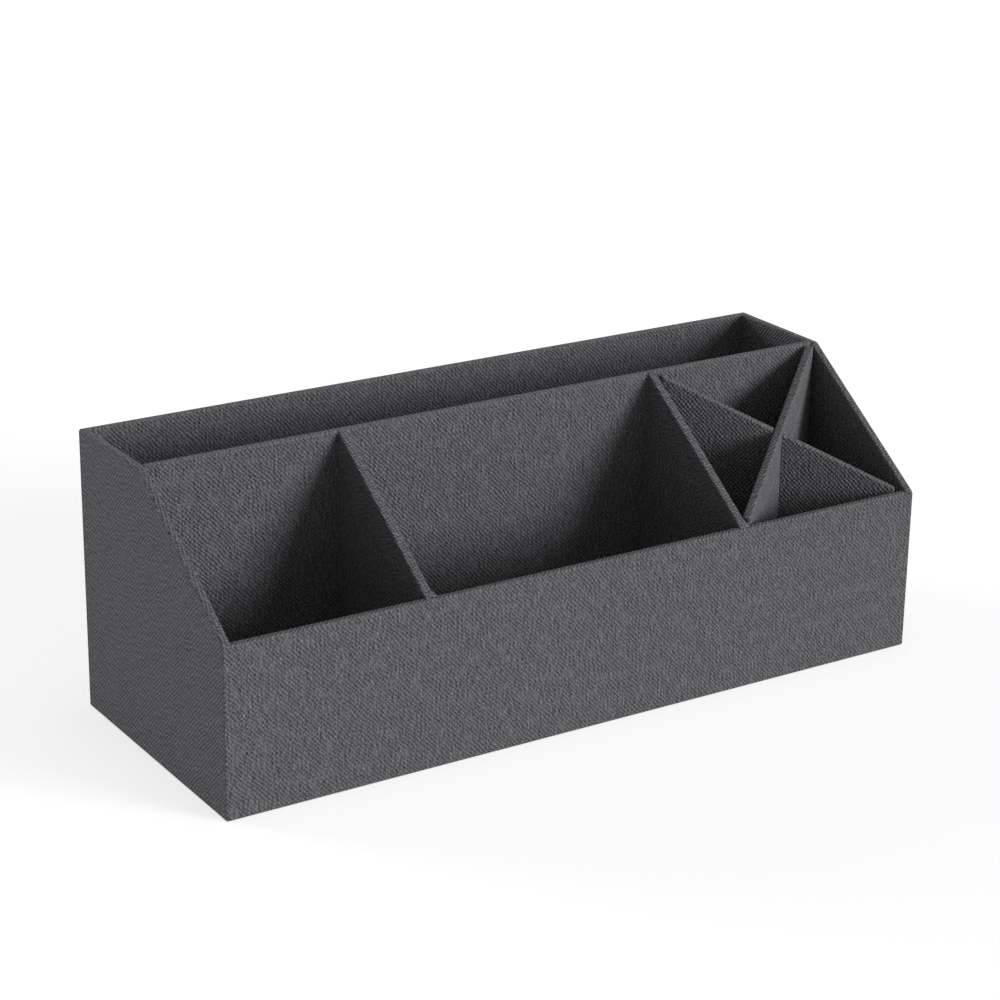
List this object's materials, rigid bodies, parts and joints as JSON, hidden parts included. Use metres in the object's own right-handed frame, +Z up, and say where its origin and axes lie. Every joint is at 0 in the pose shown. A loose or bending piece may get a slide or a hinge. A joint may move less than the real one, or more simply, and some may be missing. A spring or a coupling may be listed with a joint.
{
  "type": "desk tray",
  "caption": "Open desk tray of paper-covered board with a high back, sloping ends, a rear slot, cross dividers and a lift-out pen cross.",
  "frame": {"origin": "middle of the underside, on the surface that the tray stands on", "axes": "+X along the length towards the pen cross, +Y from the low front to the high back, +Z up"},
  "size_m": [0.333, 0.124, 0.121],
  "materials": {
    "canvas_paper": "matte, canvas-embossed",
    "base_paper": "matte, plain",
    "greyboard": "raw, fibrous"
  },
  "bodies": {
    "tray": {"bottom_board": "greyboard", "front_board": "greyboard", "back_board": "greyboard", "left_end_board": "greyboard", "right_end_board": "greyboard", "long_divider_board": "greyboard", "left_divider_board": "greyboard", "right_divider_board": "greyboard", "front_wrap": "canvas_paper", "back_wrap": "canvas_paper", "left_end_wrap": "canvas_paper", "right_end_wrap": "canvas_paper", "front_lining": "canvas_paper", "back_lining": "canvas_paper", "left_end_lining": "canvas_paper", "right_end_lining": "canvas_paper", "floor_lining": "canvas_paper", "base_sheet": "base_paper", "long_divider_cover": "canvas_paper", "long_divider_facing": "canvas_paper", "left_divider_cover": "canvas_paper", "left_divider_facing": "canvas_paper", "right_divider_cover": "canvas_paper", "right_divider_facing": "canvas_paper"},
    "lower_panel": {"lower_panel_board": "greyboard", "lower_panel_cover": "canvas_paper"},
    "upper_panel": {"upper_panel_board": "greyboard", "upper_panel_cover": "canvas_paper"}
  },
  "joints": [
    {"name": "cross_lift", "type": "slide", "parent": "tray", "child": "lower_panel", "axis": [0, 0, 1], "range_m": [0, 0.12]},
    {"name": "upper_panel_lift", "type": "slide", "parent": "lower_panel", "child": "upper_panel", "axis": [0, 0, 1], "range_m": [0, 0.12]}
  ]
}
